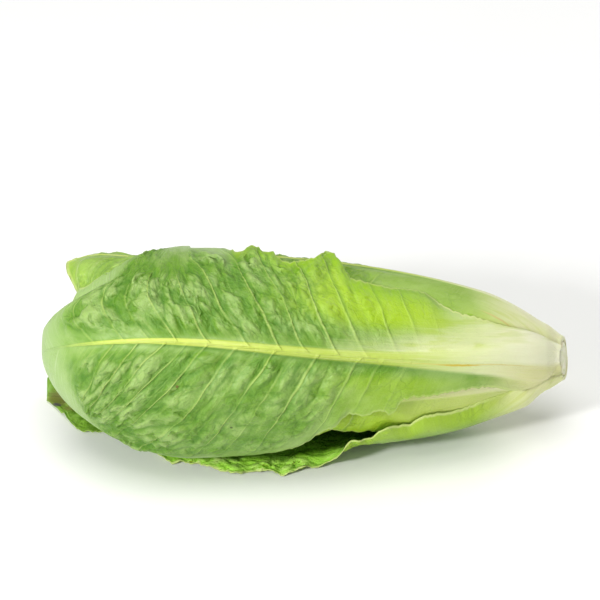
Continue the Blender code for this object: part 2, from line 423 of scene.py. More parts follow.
def placeOnHead(along, ahead, reach, angle):
    # From distance along the axis, reach from it and angle about it, to the lying head.
    x = head["widestFromCut"] - along - ahead
    y = -reach * np.cos(angle)
    z = reach * np.sin(angle)
    z = z + head["sagShare"] * np.clip(-z - head["sagStarts"], 0, None) ** 2 / (2 * head["sagSpan"])
    belly = eased((along - head["bellyFrom"]) / (head["bellyFull"] - head["bellyFrom"]))
    fade = (along - head["bellyFades"]) / (head["bellyEnds"] - head["bellyFades"])
    z = z * (1 + head["belly"] * belly * faded(fade) * (z < 0))
    z = z - head["footDroop"] * faded(along / head["droopLength"])
    forward = z * math.sin(head["slantFaces"]) - y * math.cos(head["slantFaces"])
    x = x - head["cutSlant"] * forward * faded(along / head["slantFades"])
    tilt = head["buttDrop"]
    return np.stack([
        x * math.cos(tilt) + z * math.sin(tilt),
        y,
        head["axisHeight"] + z * math.cos(tilt) - x * math.sin(tilt),
    ], axis=-1)


def overTheTip(plan, bend, turn, across):
    spread = np.where(across > 0, plan["spread"][1], plan["spread"][0])
    out = np.cos(bend) * np.cos(turn)
    beside = np.sin(turn)
    ahead = np.sin(bend) * (np.cos(turn) + spread * np.sin(turn) ** 2)
    size = np.sqrt(out**2 + beside**2 + ahead**2)
    rise = ahead / size
    flat = np.hypot(out, beside) / size
    angle = np.arctan2(beside, out)
    power = (head["lowTipPower"] + head["highTipPower"]) / 2
    swing = (head["highTipPower"] - head["lowTipPower"]) / 2
    power = power + swing * np.sin(plan["angle"] + angle - head["firstAngle"])
    reach = ((flat / plan["radius"]) ** power + (rise / plan["height"]) ** power) ** (-1 / power)
    flare = eased((bend - head["flareFrom"]) / head["flareOver"]) * eased(1 - np.abs(across))
    return angle, rise, flat, reach * (1 + plan.get("flare", 0) * flare)


def shellPoints(plan, run, across, turn, lift):
    # Places on one leaf's shell, lifted off it outwards. run is in metres, turn in radians.
    middle = plan["angle"] + np.radians(through(plan["lean"], run / mm))
    along = plan["start"] + run
    reach = shellRadius(plan, along)
    if plan["bend"] == 0:
        points = placeOnHead(along, 0, reach + lift, middle + turn)
        return pressedOnTable(points, run, middle + turn, lift)
    body = plan["widest"] - plan["start"]
    past = np.clip(run - body, 0, None) / (plan["length"] - body)
    lastBend = plan["bend"] + (plan["highBend"] - plan["bend"]) * eased(across, 0.2, 0.4)
    lastBend = lastBend * (1 - plan.get("skew", 0) * across)
    angle, rise, flat, tipReach = overTheTip(plan, np.radians(lastBend) * past, turn, across)
    reach = np.where(past > 0, tipReach, reach) + lift
    return placeOnHead(np.minimum(along, plan["widest"]), reach * rise, reach * flat, middle + angle)


def pressedOnTable(points, run, angle, lift):
    weight = eased((run - head["layFrom"]) / (head["layFull"] - head["layFrom"]))
    back = (angle - head["layBackNone"]) / (head["layBackFull"] - head["layBackNone"])
    weight = weight * eased(back)
    lowest = np.clip(1 * mm - lift, 0, None)
    height = points[..., 2] * (1 - weight) + (lowest - head["press"]) * weight
    points[..., 2] = np.maximum(height, lowest)
    return points


def rowOrigin():
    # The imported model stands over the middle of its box, so the stem's own box gives the shift.
    turn = np.arange(28) * math.pi / 14
    rings = [placeOnHead(np.full(28, along), 0, coreRadius(along), turn)
             for along in np.linspace(0, head["coreLength"], 7)]
    return np.concatenate(rings).min(axis=0) - np.array(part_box("stem")[0])


origin = rowOrigin()


# What a leaf's surface carries: outline, rib, side veins, bulges and ruffles.


def waves(seed, where, count=5, shortest=7.0, longest=40.0):
    # A smooth random line through where, in millimetres, between about -1 and 1.
    rng = np.random.default_rng(seed)
    total = np.zeros_like(where, dtype=float)
    for length in np.geomspace(longest, shortest, count):
        total += np.sin(2 * np.pi * (where / length + rng.random())) * rng.uniform(0.6, 1.0)
    return total / count * 1.6


def ripple(seed, along, beside, length):
    # A smooth random field in two directions, between about -1 and 1.
    rng = np.random.default_rng(seed)
    total = np.zeros_like(along, dtype=float)
    for _ in range(6):
        heading = rng.uniform(0, 2 * np.pi)
        size = length * rng.uniform(0.7, 1.5)
        total += np.sin(2 * np.pi * ((along * np.cos(heading) + beside * np.sin(heading)) / size
                                     + rng.random()))
    return total / 3.2


def teeth(seed, where, pitch):
    # Small forward-leaning teeth of uneven size, from 0 in a notch to about 1 at a point.
    bent = where / pitch + 0.55 * waves(seed, where, 4, pitch * 2.2, pitch * 9)
    share = bent % 1
    size = 0.45 + 0.55 * np.abs(np.sin(bent.round(0) * 12.9898 + seed))
    return size * np.where(share < 0.72, share / 0.72, (1 - share) / 0.28) ** 0.8


frontLeaf = {
    # places and sizes in millimetres; each vein has its place on the midrib and its strength
    "ribHalf": ((0, 13.5), (18, 11.5), (36, 9.0), (60, 6.0), (89, 4.1), (142, 2.9), (196, 2.1),
        (233, 1.35), (262, 0.75), (285, 0.35), (310, 0.2)),
    "ribHeight": ((0, 0.3), (20, 1.0), (45, 1.9), (89, 2.3), (142, 2.0), (196, 1.5), (233, 0.9),
        (262, 0.35), (285, 0.1), (310, 0.0)),
    "highVeins": ((48, 0.3), (61, 0.4), (74, 0.5), (88, 0.6), (97.5, 0.3), (106, 0.8),
        (121, 0.9), (130, 0.3), (137, 0.8), (151, 1.0), (160, 0.3),
        (169, 1.0), (178.6, 0.35), (187, 1.0), (198, 0.3), (208, 1.0),
        (222, 0.6), (237, 0.9), (256, 0.6), (276, 0.2), (295, 0.1)),
    "lowVeins": ((53, 0.2), (68, 0.3), (83, 0.4), (97, 0.5), (109, 0.6), (120, 0.4),
        (131, 0.8), (142, 0.5), (153, 0.9), (163, 0.4),
        (173, 0.8), (187, 1.0), (199, 0.9), (213, 0.9), (228, 1.0),
        (244, 0.7), (260, 0.4), (277, 0.2), (295, 0.1)),
    "highSlope": ((40, 0.24), (90, 0.34), (140, 0.42), (172, 0.5), (187, 0.56), (208, 0.62),
        (240, 0.78)),
    "lowSlope": ((40, 0.3), (90, 0.42), (140, 0.55), (178, 0.72), (197, 0.95), (223, 0.9),
        (250, 0.75)),
    # how far the frilly part of the upper margin stands out from the head
    "stand": ((0, 0), (108, 0), (115, 0.8), (120, 3.0), (126, 5.2), (131, 4.6), (140, 3.0), (150, 2.4),
              (156, 3.4), (167, 4.0), (174, 2.0), (184, 0), (300, 0)),
}


def veinNodes(plan):
    # Where the side veins leave the midrib, and how strong each is, for both sides.
    if plan["index"] == 0:
        return frontLeaf["lowVeins"], frontLeaf["highVeins"]
    rng = np.random.default_rng(100 + plan["index"])
    sides = []
    for _ in range(2):
        place = 24.0 + 8 * rng.random()
        nodes = []
        while place < plan["length"] / mm * 0.97:
            nodes.append((place, (0.9, 0.5)[len(nodes) % 2] * rng.uniform(0.8, 1.1)))
            place += (5.5 + 5.5 * eased(place / 150)) * rng.uniform(0.75, 1.3)
        sides.append(nodes)
    return sides


def sideVeins(plan, run, beside):
    # Running number of the side vein at each point, a whole number right on a vein; the distance
    # between the veins around it in millimetres; and the strength of the nearest one.
    phase = np.zeros_like(run)
    spacing = np.ones_like(run)
    strength = np.zeros_like(run)
    off = np.abs(beside)
    bent = run + 1.1 * ripple(plan["index"] * 7 + 3, run, beside, 46)
    bent = bent + 0.5 * ripple(plan["index"] * 7 + 4, run, beside, 17)
    for side, nodes in zip((-1, 1), veinNodes(plan)):
        place, power = np.array(nodes, float).T
        slopes = frontLeaf["lowSlope" if side < 0 else "highSlope"]
        slope = through(slopes, place) * (1 if plan["index"] == 0 else 0.9)
        mask = (beside < 0) if side < 0 else (beside >= 0)
        where = bent[mask]
        away = off[mask]
        lines = place[:, None] + slope[:, None] * away + 2.5 * (1 - np.exp(-away / 6))
        below = (lines <= where).sum(axis=0) - 1
        inner = np.clip(below, 0, len(place) - 2)
        pick = np.arange(len(where))
        gap = lines[inner + 1, pick] - lines[inner, pick]
        t = (where - lines[inner, pick]) / gap
        phase[mask] = inner + np.clip(t, -0.5, 1.5)
        spacing[mask] = gap
        nearest = np.clip(np.round(phase[mask]).astype(int), 0, len(place) - 1)
        strength[mask] = power[nearest]
    return phase, spacing, strength


def leafOutline(plan, run, side, seed):
    # Half-width in degrees, with the waves and teeth of a real margin added in millimetres.
    half = through(plan["high"] if side > 0 else plan["low"], run)
    reach = shellRadius(plan, plan["start"] + run * mm) / mm
    lobes = 1.3 * waves(seed, run, 4, 9, 34) * eased(run, 55, 40)
    if plan["index"] == 0:
        lobes = 0.2 * lobes
    points = 1.5 * teeth(seed + 1, run, 4.6) + 0.6 * teeth(seed + 2, run, 2.9)
    end = faded((run - plan["length"] / mm + 16) / 14)
    if plan["index"] == 0:
        end = end * (1 - 0.8 * stretch(run, 184, 12, 258, 20))
    return half + np.degrees((lobes + (points - 0.9) * eased(run, 24, 30)) / reach) * end


def ribShape(plan, run, beside):
    # Height of the midrib over the blade in millimetres, and the place across it, 1 at its edge.
    if plan["index"] == 0:
        half = through(frontLeaf["ribHalf"], run)
        height = through(frontLeaf["ribHeight"], run)
        across = np.abs(beside) / half
        return height * faded(across, 0.35, 0.85), across
    half = 2.2 + 11 * np.exp(-run / 60)
    if plan["index"] < head["cutLeaves"]:
        height = 1.7 * np.exp(-run / 150) * faded(run, 180, 60)
    else:
        height = 1.6 * np.exp(-run / 130) * stretch(run, -12, 36, 150, 60)
    across = np.abs(beside) / half
    return height * np.exp(-across**2), np.abs(beside) / (0.35 + 0.62 * half)


def bladeThickness(plan, run, edge):
    # In millimetres: thin at the margins, thick at the foot of the leaves that are cut.
    index = plan["index"]
    middle = 1.0 if index < head["cutLeaves"] else 0.9 if index < head["heartFrom"] else 0.7
    thin = 0.4 + (middle - 0.4) * eased(edge / 5)
    foot = 1.9 * np.exp(-run / 16) if index < head["cutLeaves"] else 0.0
    return thin + foot * eased(edge, -0.6, 5)


def tucked(plan, run, beside, edge):
    # Near the cut, margins of the cut leaves slip over or under their neighbours, in millimetres.
    near = faded(run, 48, 22) * faded(edge / 7)
    if plan["index"] == 0:
        return 0.5 * near
    if plan["index"] == 2:
        return -1.0 * near * (beside < 0)
    if plan["index"] == 1:
        meets = stretch(run, 19, 12, 84, 16) * faded(edge / 11)
        return (-1.0 * near - 2.6 * meets) * (beside > 0)
    return 0.0 * near


blade = {
    "wrapperScale": 0.75, "innerScale": 0.4,
    "ridge": 0.45, "ridgeHalf": 0.9, "ridgeReach": 70,
    "bulgeLean": 1.35, "lowBulge": 2.1, "highBulge": 1.5, "lowReach": 34.0, "highReach": 26.0,
    "lowGroove": 1.3, "highGroove": 0.4,
}


def bladeRelief(plan, run, beside, edge, phase, spacing, strength):
    # Small ridges of the side veins and the blade's bulges between them, in millimetres outwards.
    off = np.abs(beside)
    scale = (1.0 if plan["index"] == 0 else
             blade["wrapperScale"] if plan["index"] < len(wrapperPlans) else blade["innerScale"])
    low = beside < 0
    toVein = np.abs(phase - np.round(phase)) * spacing
    ridge = blade["ridge"] * strength * hump(toVein, blade["ridgeHalf"])
    ridge = ridge * np.exp(-off / blade["ridgeReach"])
    ridge = ridge * eased(run, 50, 60) * eased(edge, 2, 8)
    # each bulge leans towards the foot, so its far side drops steeply into the next vein
    share = np.clip(phase % 1, 0, 1)
    bulge = np.sin(np.pi * share ** blade["bulgeLean"]) ** 0.85 * (0.55 + 0.45 * strength)
    reachOut = np.where(low, blade["lowReach"], blade["highReach"])
    tall = np.where(low, blade["lowBulge"], blade["highBulge"])
    tall = tall * hump(off, reachOut, 8) * eased(off, 1.0, 6)
    uneven = 0.75 + 0.45 * ripple(plan["index"] * 7 + 5, run, beside, 60)
    bulge = bulge * tall * uneven * eased(run, 80, 60) * eased(edge, 6, 14)
    bulge = bulge * faded(run, 254, 30)
    # shallow grooves along both sides of the midrib
    groove = blade["lowGroove"] * hump(beside, 3.6, -5.0)
    groove = groove + blade["highGroove"] * hump(beside, 4.0, 5.5)
    groove = groove * stretch(run, 60, 60, 225, 40)
    return (ridge + bulge - groove) * scale


def ruffle(plan, run, beside, edge):
    # The margin's own waves. They die away a little way into the leaf.
    index = plan["index"]
    near = hump(edge, 7.0)
    wave = waves(31 + index * 5, run + 0.3 * beside, 4, 11, 27)
    if index == 0:
        stand = np.exp(-(edge / 9.0) ** 1.3) * through(frontLeaf["stand"], run) * (beside > 0)
        fold = 0.8 * waves(77, run + 0.5 * beside, 3, 5, 12) * hump(edge, 9.0)
        fold = fold * (beside > 0) * stretch(run, 108, 10, 172, 12)
        fine = (beside > 0) * 0.6 * wave * near * stretch(run, 50, 30, 108, 8)
        under = (beside < 0) * 1.0 * wave * near * stretch(run, 95, 15, 155, 15)
        return stand + fold + fine + under
    if index == 1:
        frill = 1.3 * wave * near * (beside > 0) * eased(run, 92, 20)
        return frill - np.abs(1.2 * wave) * near * (beside < 0) * eased(run, 60, 30)
    if index == 2:
        return 1.4 * wave * near * eased(run, 90, 40)
    return 0.7 * wave * near * eased(run, 60, 40)


def crumpleShare(plan, run, beside, edge):
    # How much of the crinkle between veins each part of the leaf shows.
    index = plan["index"]
    share = eased(run, 62, 90) * eased(np.abs(beside), 2, 8)
    if index == 0:
        overTop = stretch(run, 168, 12, 236, 20)
        share = share * np.where(beside < 0, 1.0, 0.5 + 0.5 * eased(run, 122, 60))
        share = share * np.where(beside < 0, eased(edge, 7, 12), eased(edge + 2 - 14 * overTop, 0, 11))
        quiet = 0.45 + 0.55 * eased(beside, -14, 12)
        share = share * np.where(run < 190, quiet, quiet + (1 - quiet) * eased(run, 190, 30))
        return share * faded(run, 262, 22)
    if index < len(wrapperPlans):
        return 0.8 * share
    return (0.45 if index < head["heartFrom"] else 0.3) * share


# rows and columns of the grid; the first leaf is the finest
leafCounts = {"front": (290, 150), "wrapper": (210, 120), "inner": (110, 64), "heart": (72, 40)}
# patterns of one leaf are read this far from those of the next
leafGap = 20.0


def leafMesh(plan):
    # One leaf as a closed sheet: points, faces and what its material reads.
    index = plan["index"]
    rows, columns = leafCounts["front" if index == 0 else leafKind(index)]
    share, across = np.meshgrid(np.linspace(0, 1, rows + 1), np.linspace(-1, 1, columns + 1),
                                indexing="ij")
    run = share**1.12 * plan["length"] / mm
    low = leafOutline(plan, run[:, 0], -1, 11 + index * 3)[:, None]
    high = leafOutline(plan, run[:, 0], 1, 12 + index * 3)[:, None]
    half = np.radians(np.where(across > 0, high, low))
    turn = across * half
    reach = shellRadius(plan, plan["start"] + run * mm) / mm
    beside = turn * reach
    edge = np.minimum((half - np.abs(turn)) * reach, plan["length"] / mm - run)
    phase, spacing, strength = sideVeins(plan, run, beside)
    rib, ribPlace = ribShape(plan, run, beside)
    thickness = bladeThickness(plan, run, edge)
    inside = shellPoints(plan, run * mm, across, turn, 0.0)
    outside = shellPoints(plan, run * mm, across, turn, thickness * mm)
    outward = outwardOf(outside, inside)
    # where the cross lines run together beside the tip, the blade is calm
    step = np.linalg.norm(np.gradient(outside, axis=0), axis=-1) / mm
    calm = eased(step / np.gradient(run, axis=0) - 0.3, 0, 0.5)
    if index in (1, 2, 3):
        calm = calm * (0.35 + 0.65 * eased(run, 75, 45))
    strength = strength * calm
    relief = bladeRelief(plan, run, beside, edge, phase, spacing, strength)
    relief = (relief + ruffle(plan, run, beside, edge)) * calm
    relief = relief + tucked(plan, run, beside, edge)
    bevel = 2.3 * faded(run / 9) if index < head["cutLeaves"] else 0.0
    outer = outside + outward * ((relief + rib - bevel) * mm)[..., None]
    inner = inside + outward * ((relief * (1 - 0.25 * eased(edge / 4))) * mm)[..., None]
    if index == 1:
        outer[..., 2] = np.maximum(outer[..., 2], 0)
        inner[..., 2] = np.maximum(inner[..., 2], outer[..., 2] + 0.4 * mm)
    crumple = crumpleShare(plan, run, beside, edge) * calm
    if index == 1:
        onTable = faded((outer[..., 2:] - 4 * mm) / (6 * mm))
        outward = outward * (1 - onTable) + np.array((0, 0, 1.0)) * onTable
    wide = columns + 1
    count = (rows + 1) * wide
    number = np.arange(count).reshape(rows + 1, wide)
    cell = number[:-1, :-1].ravel()
    outerFaces = np.stack([cell, cell + 1, cell + wide + 1, cell + wide], axis=1)
    innerFaces = count + np.stack([cell, cell + wide, cell + wide + 1, cell + 1], axis=1)
    rim = np.concatenate([number[0], number[1:, -1], number[-1, -2::-1], number[-2:0:-1, 0]])
    after = np.roll(rim, -1)
    rimFaces = np.stack([after, rim, count + rim, count + after], axis=1)
    both = lambda *layers: np.concatenate([np.stack(layers, axis=-1).reshape(-1, len(layers))] * 2)
    cover = both(ribPlace, edge, edge)
    cover[:, 2] = np.repeat((0, 1), count)  # 0 on the outer face and 1 on the inner one
    pale, bright = paleAndBright(plan, run, beside, edge)
    waxAndSheen, footTanAndShade, rimmed = bloomSheenShadeAndRim(plan, run, beside, edge)
    carried = {
        "chart": both(run, beside, np.full_like(run, index * leafGap)),
        "lines": both(phase, spacing, strength),
        "cover": cover,
        "tone": both(relief, bright, pale),
        "tint": both(waxAndSheen, footTanAndShade, rimmed),
        "outward": np.concatenate([outward.reshape(-1, 3)] * 2),
        "crumple": np.concatenate([crumple.ravel()] * 2)[:, None],
    }
    points = np.concatenate([outer.reshape(-1, 3), inner.reshape(-1, 3)]) - origin
    return points, np.concatenate([outerFaces, innerFaces, rimFaces]), carried


def oneLong(vectors):
    return vectors / np.maximum(np.linalg.norm(vectors, axis=-1, keepdims=True), 1e-12)


def outwardOf(outside, inside):
    # Directions straight out of the sheet, eased so that they never flip at a sharp corner.
    direction = oneLong(np.cross(np.gradient(outside, axis=1), np.gradient(outside, axis=0)))
    straight = oneLong(outside - inside)
    sign = np.sign((direction * straight).sum(axis=-1, keepdims=True))
    return oneLong(direction * np.where(sign == 0, 1, sign) + 0.5 * straight)


def paleAndBright(plan, run, beside, edge):
    # pale goes to 1 at the white foot of a leaf, bright to 1 at its yellow-green parts.
    index = plan["index"]
    pale = faded(run, 12, 95)
    bright = 0.25 + 0.75 * hump(run, 55, 100)
    if index == 0:
        high = beside > 0
        pale = np.where(high, faded(run - 22 + 0.6 * beside, 0, 98), faded(run, -12, 66))
        besideRib = high * hump(beside, 15) * eased(run, 38, 40)
        pale = pale + 0.5 * besideRib * faded(run, 106, 52)
        upper = eased(beside, 6, 20) * hump(run, 52, 92)
        upper = upper * (1 - 0.5 * hump(edge, 13))
        lower = 0.5 * eased(-beside, 3, 10) * hump(run, 48, 88)
        rim = hump(edge, 9) * high * stretch(run, 80, 40, 172, 16)
        bright = np.clip(upper + lower + 0.5 * rim + 0.1, 0, 1)
    elif index == 1:
        bright = 0.55 * hump(edge, 16) + 0.25
        pale = faded(run, 4, 60)
    elif index == 2:
        pale = 0.9 * faded(run, 22, 40)
        bright = 0.35 + 0.2 * hump(edge, 8) + 0.15 * eased(run, 200, 30)
        bright = bright + 0.15 * hump(run, 50, 70)
    elif index == 3:
        pale = 0.5 * faded(run, 4, 70)
        bright = 0.8 * hump(run, 70, 80) + 0.2
    return np.clip(pale, 0, 1), np.clip(bright, 0, 1)


def bloomSheenShadeAndRim(plan, run, beside, edge):
    # The smooth waxy band, partly painted sheen, the beige foot, and the margins that are edged with a
    # pale line.
    index = plan["index"]
    waxAndSheen = footTanAndShade = rimmed = np.zeros_like(run)
    if index == 0:
        low = beside < 0
        # painted sheen over the waxy bloom: a pale band along the low margin, over the top and at the
        # tip, where the leaf curves away
        waxAndSheen = np.where(low, faded(edge, 4, 9), 0.0) * eased(run, 175, 25)
        overTop = faded(edge, 16, 14) * stretch(run, 174, 10, 234, 20)
        waxAndSheen = np.maximum(np.maximum(waxAndSheen, overTop * ~low), eased(run, 268, 18))
        # painted shade: the front leaf's foot turns beige on its lower side, away from the light above
        footTanAndShade = eased(-beside, -1, 4) * faded(run, 14, 40)
        rimmed = np.where(low, 0.5, 1 - 0.4 * eased(run, 60, 20)) * eased(run, 16, 12)
    elif index == 1:
        footTanAndShade = 0.6 * faded(run, 10, 45)
        rimmed = eased(run, 30, 20) * (beside > 0) * (1 - 0.75 * eased(run, 215, 30))
    elif index == 2:
        # painted sheen: the end of this leaf is made paler with the waxy colour
        waxAndSheen = 0.3 * eased(run, 205, 20)
        footTanAndShade = 0.45 * faded(run, 12, 60)
        rimmed = 0.8 * eased(run, 20, 20)
    elif index == 3:
        footTanAndShade = 0.6 * faded(run, 45, 60)
        rimmed = 0.6 * eased(run, 20, 20)
    return waxAndSheen, footTanAndShade, rimmed


# The crinkle of every leaf is one node tree, which also gives it its material.

crinkle = {
    # lengths in millimetres, counts in side veins
    "foldLength": 20.0, "foldsBetweenVeins": 1.0, "foldPower": 0.8,
    "blisterLength": 7.5, "blistersBetweenVeins": 1.8, "blisterPower": 0.7,
    "wander": 1.5, "dented": 0.2, "slant": 0.55, "squeeze": 1.2, "gain": 3.2,
}
crinkleHeights = {"Fold Height": 2.5 * mm, "Blister Height": 0.95 * mm}


def withVeins(sheet, along, beside, leaf):
    # A place on the leaf that patterns run along with the side veins, the same on both halves.
    return sheet.vector(along - crinkle["slant"] * abs(beside), beside * crinkle["squeeze"], leaf)


def crinkleFields(sheet, along, beside, phase, leaf):
    # Folds and blisters are zero on sharp creases and rise to rounded bumps between them: long
    # folds lie along the side veins, and blisters are angular as on hammered metal. Dents with
    # steep sides press both down.
    off = abs(beside)
    half = beside.math("SIGN")
    across = sheet.vector(phase * crinkle["foldsBetweenVeins"], off / crinkle["foldLength"],
                          leaf + half * 3.7)
    folds = abs(sheet.noise(across, 1.0, 1.6, 0.45) - 0.5)
    place = withVeins(sheet, along, beside, leaf)
    wander = sheet.noise(place, 0.11) * crinkle["wander"]
    short = sheet.vector(phase * crinkle["blistersBetweenVeins"] + wander,
                         off / crinkle["blisterLength"] - wander, leaf + half * 5.3)
    blisters = sheet.cells(short, 1.0)
    uneven = sheet.rise(sheet.noise(place, 0.045, 1.0), 0.36, 0.62, 0.35, 1.0)
    dents = sheet.rise(sheet.noise(short, 1.1), 0.53, 0.62, 1.0, crinkle["dented"])
    return folds, blisters, uneven, dents


def crinkleTree():
    tree = bpy.data.node_groups.new("leafCrinkle", "GeometryNodeTree")
    side = tree.interface
    side.new_socket("Leaf", in_out="INPUT", socket_type="NodeSocketGeometry")
    for name, value in crinkleHeights.items():
        made = side.new_socket(name, in_out="INPUT", socket_type="NodeSocketFloat")
        made.default_value = value
    side.new_socket("Finish", in_out="INPUT", socket_type="NodeSocketMaterial")
    side.new_socket("Leaf", in_out="OUTPUT", socket_type="NodeSocketGeometry")
    sheet = NodeSheet(tree)
    entry = tree.nodes.new("NodeGroupInput")
    given = {socket.name: Number(sheet, socket) for socket in entry.outputs if socket.name}

    def stored(name, kind="FLOAT_VECTOR"):
        return sheet.node("GeometryNodeInputNamedAttribute", {"data_type": kind}, {"Name": name})

    along, beside, leaf = sheet.parts(stored("chart"))
    phase = sheet.parts(stored("lines"))[0]
    folds, blisters, uneven, dents = crinkleFields(sheet, along, beside, phase, leaf)
    height = folds ** crinkle["foldPower"] * given["Fold Height"]
    height = height + blisters ** crinkle["blisterPower"] * uneven * given["Blister Height"]
    height = height * dents * stored("crumple", "FLOAT") * crinkle["gain"]
    offset = sheet.scaled(stored("outward"), height)
    moved = sheet.node("GeometryNodeSetPosition", None, {"Geometry": given["Leaf"], "Offset": offset})
    kept = sheet.node("GeometryNodeStoreNamedAttribute", {"data_type": "FLOAT", "domain": "POINT"},
                      {"Geometry": moved, "Name": "crinkled", "Value": height / mm})
    whole = sheet.node("GeometryNodeRealizeInstances", None, {"Geometry": kept})
    done = sheet.node("GeometryNodeSetMaterial", None, {"Geometry": whole, "Material": given["Finish"]})
    sheet.node("NodeGroupOutput", None, {0: done})
    return tree


def meshFrom(name, points, faces):
    mesh = bpy.data.meshes.new(name)
    mesh.from_pydata(points, [], faces)
    mesh.update()
    return mesh


def carry(mesh, name, values):
    # Gives every point of the mesh one number or one vector under this name.
    kind, field = ("FLOAT_VECTOR", "vector") if values.shape[1] == 3 else ("FLOAT", "value")
    layer = mesh.attributes.new(name, kind, "POINT")
    layer.data.foreach_set(field, values.astype(np.float32).ravel())


def grown(name, mesh, tree, inputs):
    # Runs a node tree on a mesh and keeps the result as a plain mesh object.
    start = linked(name + "_start", mesh)
    modifier = start.modifiers.new("grow", "NODES")
    modifier.node_group = tree
    sockets = {item.name: item.identifier for item in tree.interface.items_tree
               if item.item_type == "SOCKET" and item.in_out == "INPUT"}
    for key, value in inputs.items():
        modifier[sockets[key]] = value
    bpy.context.view_layer.update()
    graph = bpy.context.evaluated_depsgraph_get()
    result = bpy.data.meshes.new_from_object(start.evaluated_get(graph))
    result.name = name
    bpy.data.objects.remove(start)
    result.shade_smooth()
    return linked(name, result)


# Finishes: colours as a picture editor shows them.

# deep is the dark green of the small vein net and of the painted shade in creases, dents, beside the
# side veins and under the midrib; bloom is also the painted highlight on raised parts
leafColours = {
    "wrapper": {
        "bloom": (147, 179, 97), "fresh": (108, 151, 47), "bright": (163, 199, 28),
        "deep": (62, 116, 16), "vein": (172, 198, 104), "foot": (242, 244, 206),
        "rib": (208, 224, 98), "ribFoot": (240, 242, 204), "rim": (206, 220, 136),
        "inside": (92, 138, 42),
    },
    "inner": {
        "bloom": (164, 190, 108), "fresh": (148, 182, 66), "bright": (162, 190, 56),
        "deep": (100, 142, 42), "vein": (192, 208, 130), "foot": (226, 228, 186),
        "rib": (204, 212, 132), "ribFoot": (226, 228, 190), "rim": (204, 216, 136),
        "inside": (140, 172, 74),
    },
    "heart": {
        "bloom": (204, 210, 128), "fresh": (196, 204, 104), "bright": (208, 210, 98),
        "deep": (156, 172, 68), "vein": (220, 222, 162), "foot": (230, 230, 194),
        "rib": (224, 224, 166), "ribFoot": (230, 230, 196), "rim": (220, 222, 150),
        "inside": (194, 200, 116),
    },
}

# the waxy colours also paint a sheen where the leaf curves away, the yellow and beige pair also paints
# shade on the front leaf's lower foot, and the band colours paint a lit band on inner faces by the
# margin
sharedColours = {
    "nearRim": (118, 172, 12), "waxy": (154, 184, 112), "waxStreak": (190, 206, 162),
    "footYellow": (198, 214, 100), "ribMiddle": (184, 204, 84), "footTanAndShade": (208, 214, 108),
    "beige": (224, 216, 168), "band": (176, 240, 78), "bandBloom": (208, 244, 132),
    "speck": (112, 96, 40),
}

# Scars, spots and the spoilt tip, which one place has.
leafMarks = (
    # leaf, inner face or not, along, beside, half length, half width, strength, colour
    (1, False, 58, -1.6, 13, 0.6, 0.85, (196, 172, 30)),
    (1, False, 52, -1.4, 44, 0.5, 0.45, (206, 186, 84)),
    (1, False, 206, -23, 1.0, 1.0, 0.9, (112, 92, 44)),
    (1, False, 178, -46, 1.0, 0.8, 0.9, (70, 84, 40)),
    (2, True, 276, 3, 8, 9, 0.8, (112, 104, 52)),
    (2, True, 268, 12, 7, 4, 0.7, (124, 116, 60)),
    (2, True, 277, 9, 3, 2.4, 0.9, (88, 82, 92)),
    (3, False, 36, -22, 10, 0.7, 0.7, (206, 184, 112)),
    (3, False, 50, -28, 3, 1.4, 0.8, (140, 178, 50)),
)


